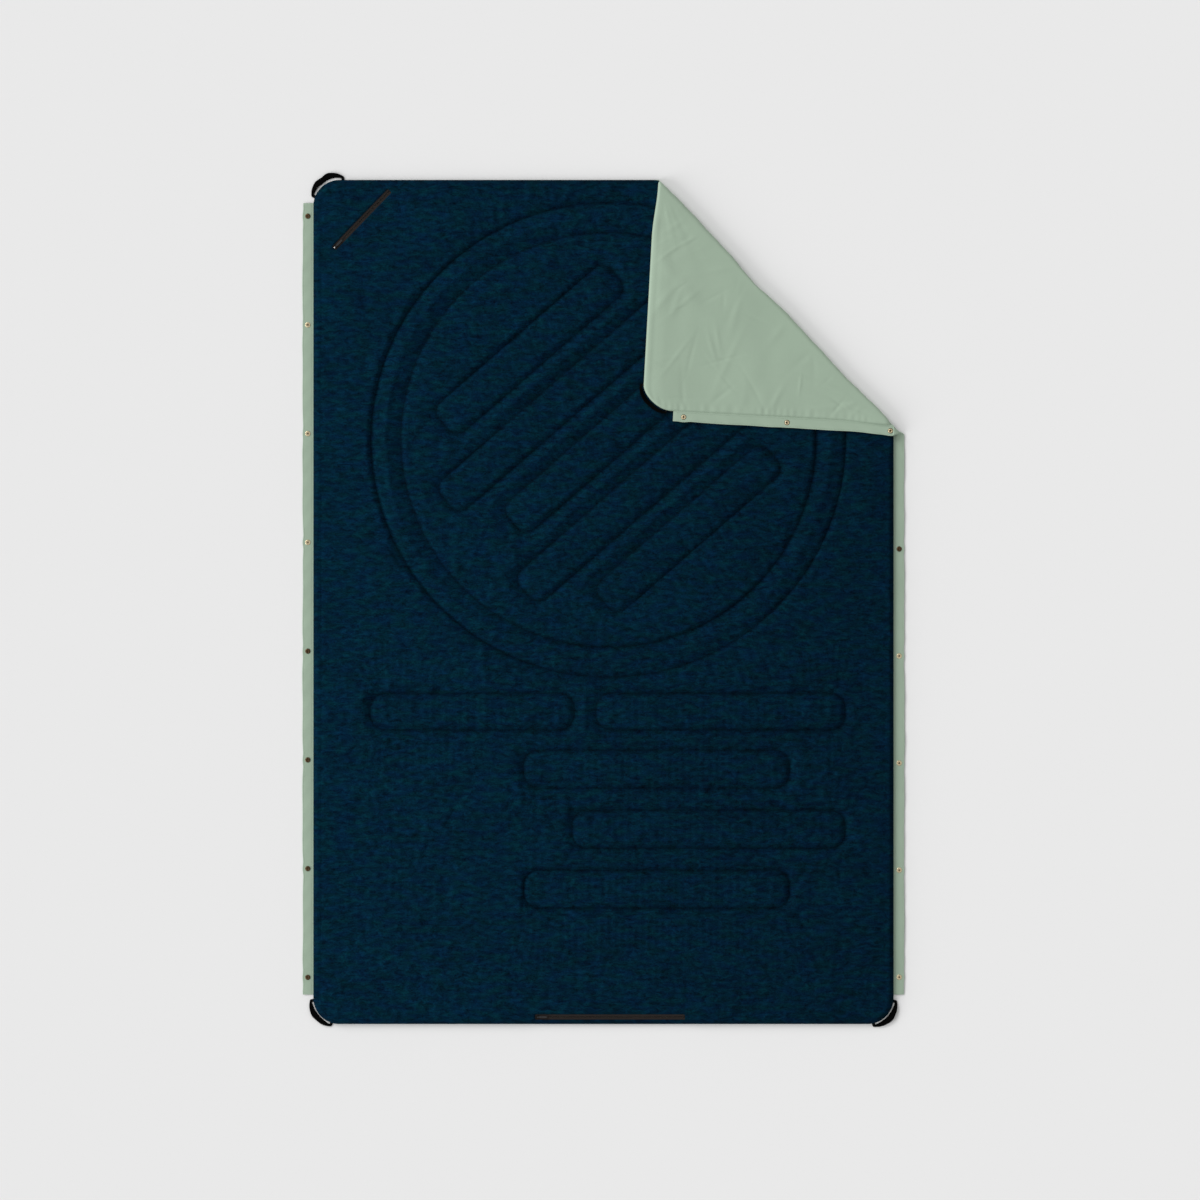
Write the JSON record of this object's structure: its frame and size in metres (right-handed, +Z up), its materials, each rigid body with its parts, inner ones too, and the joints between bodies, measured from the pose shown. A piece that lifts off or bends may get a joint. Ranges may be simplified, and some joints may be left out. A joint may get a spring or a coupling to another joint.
{
  "type": "camp blanket",
  "caption": "Rectangular quilted camp blanket lying flat, one corner folded over, with snap plackets down both sides, webbing corner loops and two zipped pockets.",
  "frame": {"origin": "centre of the blanket's outline, on the floor under its back shell", "axes": "+Y towards the end with the stash pocket, +X towards the side with the folded corner, +Z up, out of the brushed face"},
  "size_m": [1.426, 2.0288, 0.0244],
  "materials": {
    "brushed_shell": "brushed navy knit with a short heathered pile",
    "back_cloth": "fine pale green ripstop weave, water repellent",
    "filling": "white fibre filling",
    "interlining": "stiff woven tape",
    "webbing": "black woven webbing",
    "zip_tape": "charcoal woven tape",
    "zip_coil": "charcoal nylon coil",
    "zip_metal": "bright plated zinc",
    "pull_tab": "black moulded rubber",
    "bag_cloth": "thin grey lining",
    "socket_metal": "dark antique brass",
    "stud_metal": "pale brass"
  },
  "bodies": {
    "panel": {"back_shell": "back_cloth", "insulation": "filling", "top_shell": "brushed_shell", "fold_top_shell": "brushed_shell", "fold_insulation": "filling", "fold_back_shell": "back_cloth", "loop_tabs": "webbing", "stash_zip_tape_inner": "zip_tape", "stash_zip_tape_outer": "zip_tape", "stash_zip_coil_inner": "zip_coil", "stash_zip_coil_outer": "zip_coil", "stash_zip_end_stops": "zip_metal", "stash_pocket_bag": "bag_cloth", "hem_zip_tape_lower": "zip_tape", "hem_zip_tape_upper": "zip_tape", "hem_zip_coil_lower": "zip_coil", "hem_zip_coil_upper": "zip_coil", "hem_zip_end_stops": "zip_metal", "hem_pocket_bag": "bag_cloth"},
    "corner": {"corner_top_shell": "brushed_shell", "corner_insulation": "filling", "corner_back_shell": "back_cloth", "corner_loop_tabs": "webbing", "corner_placket_cover": "back_cloth", "corner_placket_interlining": "interlining", "corner_snap_sockets": "socket_metal", "corner_snap_studs": "stud_metal", "corner_snap_prong_rings": "stud_metal"},
    "left_placket": {"left_placket_cover": "back_cloth", "left_placket_interlining": "interlining", "left_snap_sockets": "socket_metal", "left_snap_studs": "stud_metal", "left_snap_prong_rings": "stud_metal"},
    "right_placket": {"right_placket_cover": "back_cloth", "right_placket_interlining": "interlining", "right_snap_sockets": "socket_metal", "right_snap_studs": "stud_metal", "right_snap_prong_rings": "stud_metal"},
    "top_left_loop": {"top_left_loop": "webbing"},
    "bottom_left_loop": {"bottom_left_loop": "webbing"},
    "bottom_right_loop": {"bottom_right_loop": "webbing"},
    "top_right_loop": {"top_right_loop": "webbing"},
    "stash_slider": {"stash_zip_slider": "zip_metal"},
    "stash_pull": {"stash_zip_pull": "pull_tab"},
    "hem_slider": {"hem_zip_slider": "zip_metal"},
    "hem_pull": {"hem_zip_pull": "pull_tab"}
  },
  "joints": [
    {"name": "corner_fold", "type": "hinge", "parent": "panel", "child": "corner", "pos_m": [0.13, 1, 0.0122], "axis": [-0.688, 0.7257, 0], "range_deg": [0, 180], "deforming": ["fold_top_shell", "fold_insulation", "fold_back_shell"]},
    {"name": "left_placket_seam", "type": "hinge", "parent": "panel", "child": "left_placket", "pos_m": [-0.6887, 0, 0.0018], "axis": [0, 1, 0], "range_deg": [0, 90]},
    {"name": "right_placket_seam", "type": "hinge", "parent": "panel", "child": "right_placket", "pos_m": [0.6887, 0, 0.0018], "axis": [0, -1, 0], "range_deg": [0, 90]},
    {"name": "top_left_loop_swing", "type": "hinge", "parent": "panel", "child": "top_left_loop", "pos_m": [-0.6175, 1.005, 0.00165], "axis": [0.853, 0.522, 0], "range_deg": [0, 90]},
    {"name": "bottom_left_loop_swing", "type": "hinge", "parent": "panel", "child": "bottom_left_loop", "pos_m": [-0.64603, -1.00178, 0.00165], "axis": [-0.6273, 0.7787, 0], "range_deg": [0, 90]},
    {"name": "bottom_right_loop_swing", "type": "hinge", "parent": "panel", "child": "bottom_right_loop", "pos_m": [0.64063, -1.00327, 0.00165], "axis": [-0.6715, -0.741, 0], "range_deg": [0, 90]},
    {"name": "top_right_loop_swing", "type": "hinge", "parent": "corner", "child": "top_right_loop", "pos_m": [0.09856, 0.50331, 0.01405], "axis": [-0.5927, 0.8054, 0], "range_deg": [0, 20]},
    {"name": "stash_slider_travel", "type": "slide", "parent": "panel", "child": "stash_slider", "axis": [0.6947, 0.7193, 0], "range_m": [0, 0.177]},
    {"name": "stash_pull_flip", "type": "hinge", "parent": "stash_slider", "child": "stash_pull", "pos_m": [-0.63443, 0.84106, 0.01275], "axis": [0.7193, -0.6947, 0], "range_deg": [0, 155]},
    {"name": "hem_slider_travel", "type": "slide", "parent": "panel", "child": "hem_slider", "axis": [1, 0, 0], "range_m": [0, 0.341]},
    {"name": "hem_pull_flip", "type": "hinge", "parent": "hem_slider", "child": "hem_pull", "pos_m": [-0.1559, -0.9824, 0.01275], "axis": [0, -1, 0], "range_deg": [0, 155]}
  ]
}
